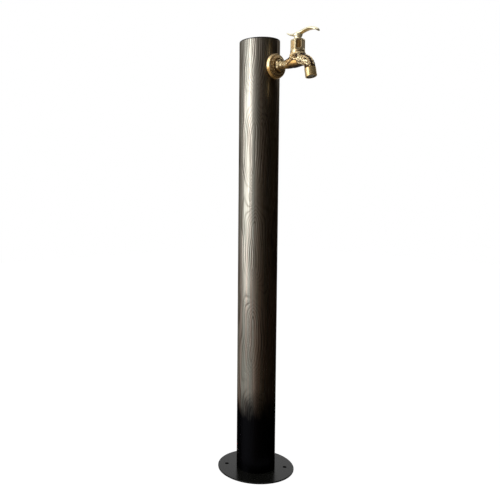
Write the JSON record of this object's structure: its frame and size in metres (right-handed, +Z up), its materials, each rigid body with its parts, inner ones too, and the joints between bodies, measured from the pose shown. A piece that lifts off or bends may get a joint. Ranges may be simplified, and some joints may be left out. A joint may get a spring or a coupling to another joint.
{
  "type": "garden standpipe",
  "caption": "Slim round garden water post on a bolted round foot, with an ornate brass lever tap near its top.",
  "frame": {"origin": "on the post's axis, on the underside of the foot plate, which is the centre of the anchor hole circle", "axes": "+Z up along the post, +X the way the tap and its spout point, +Y to the left of the tap seen from the post"},
  "size_m": [0.2184, 0.15, 0.8309],
  "materials": {
    "grained_black_steel": "satin black-brown plating over pressed wood grain",
    "black_plate": "satin black",
    "bare_steel": "drawn and bare",
    "plain_brass": "turned, unpolished",
    "antique_brass": "antique brass, dark in the hollows and rubbed bright on the high spots",
    "screw_steel": "bright stainless",
    "ceramic": "white polished alumina",
    "white_plastic": "moulded",
    "black_rubber": "matt"
  },
  "bodies": {
    "standpipe": {"post_tube": "grained_black_steel", "top_cap": "grained_black_steel", "base_plate": "black_plate", "inlet_coupling": "plain_brass", "riser_pipe": "bare_steel", "lower_union_washer": "black_rubber", "lower_union_nut": "plain_brass", "upper_union_washer": "black_rubber", "upper_union_nut": "plain_brass", "riser_elbow": "plain_brass", "tap_socket": "bare_steel", "flange_washer": "black_rubber", "wall_flange": "antique_brass", "tap_body": "antique_brass", "nozzle_sleeve": "antique_brass", "flow_straightener": "white_plastic", "nozzle_gasket": "black_rubber", "seat_seal": "black_rubber", "fixed_disc": "ceramic", "headwork_housing": "plain_brass", "body_ring": "black_rubber", "bonnet": "antique_brass"},
    "lever": {"lever_handle": "antique_brass", "handle_screw": "screw_steel", "spindle": "plain_brass", "spindle_clip": "screw_steel", "moving_disc": "ceramic", "lower_spindle_ring": "black_rubber", "upper_spindle_ring": "black_rubber"}
  },
  "joints": [
    {"name": "handle_turn", "type": "hinge", "parent": "standpipe", "child": "lever", "pos_m": [0.0957, 0, 0.8225], "axis": [0, 0, 1], "range_deg": [0, 90]}
  ]
}
